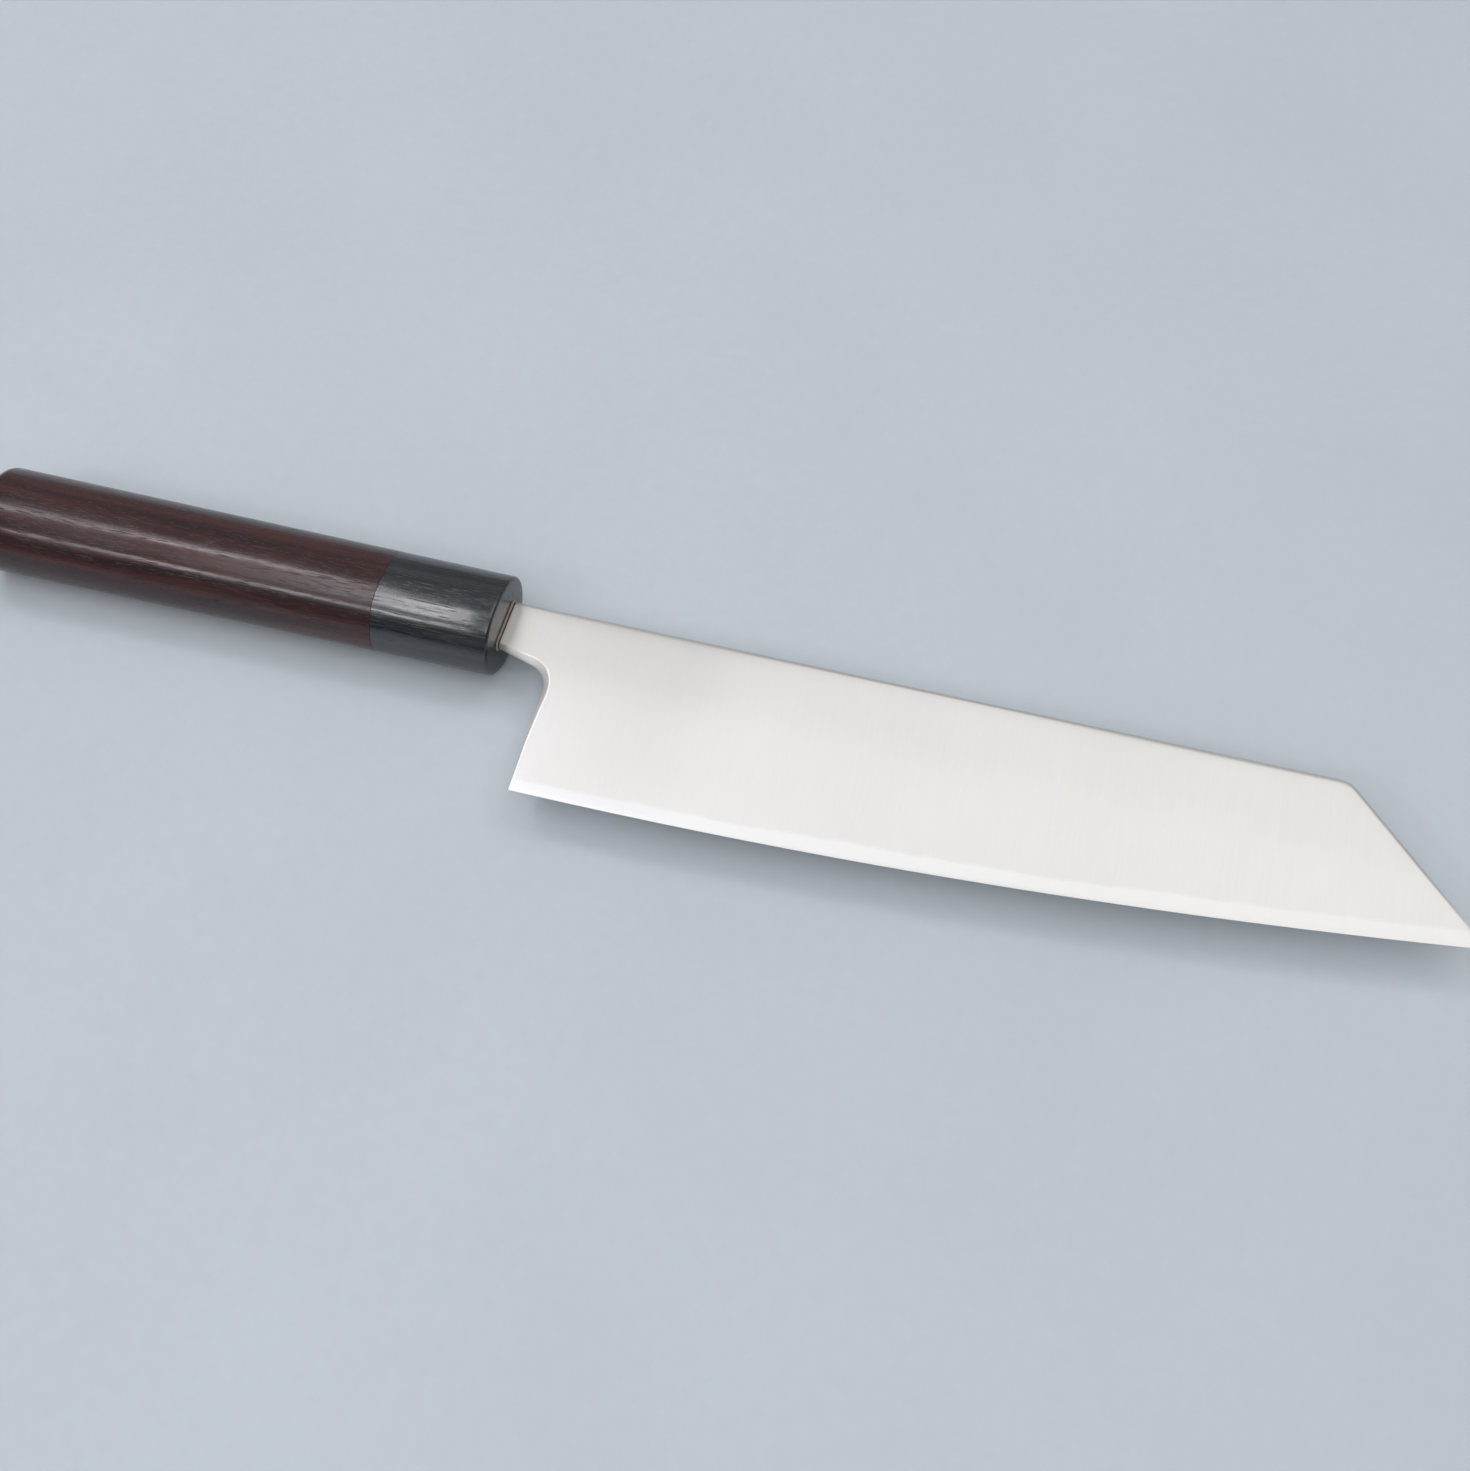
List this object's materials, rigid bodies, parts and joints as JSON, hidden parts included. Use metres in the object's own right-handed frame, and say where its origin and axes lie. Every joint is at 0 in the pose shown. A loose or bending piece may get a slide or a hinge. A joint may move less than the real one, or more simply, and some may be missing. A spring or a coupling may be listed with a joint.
{
  "type": "kiritsuke knife",
  "caption": "Kitchen knife with a long, tall blade of laminated steel, a clipped straight tip and a ridged wooden handle with a dark ferrule, for slicing and chopping.",
  "frame": {"origin": "on the surface that the knife lies on, under the middle of its bounding box", "axes": "+X from the butt of the handle to the tip, +Y from the cutting edge towards the spine, +Z out of the right-hand face of the blade, which lies upward"},
  "size_m": [0.3568, 0.0538, 0.0215],
  "materials": {
    "core_steel": "fine satin, brightest next to the cutting edge",
    "clad_steel": "even warm satin with faint scratches from spine to edge",
    "ferrule_wood": "dyed black wood, semi-gloss, grain lengthwise",
    "rosewood": "dark reddish brown, semi-gloss, open pores lengthwise",
    "dowel_wood": "bare beech, hidden",
    "bedding_resin": "cast resin, hidden",
    "seal_resin": "thin amber bead, glossy"
  },
  "bodies": {
    "root": {"core_steel": "core_steel", "right_cladding": "clad_steel", "left_cladding": "clad_steel", "ferrule": "ferrule_wood", "handle_body": "rosewood", "dowel": "dowel_wood", "tang_bedding": "bedding_resin", "mouth_seal": "seal_resin"}
  },
  "joints": []
}
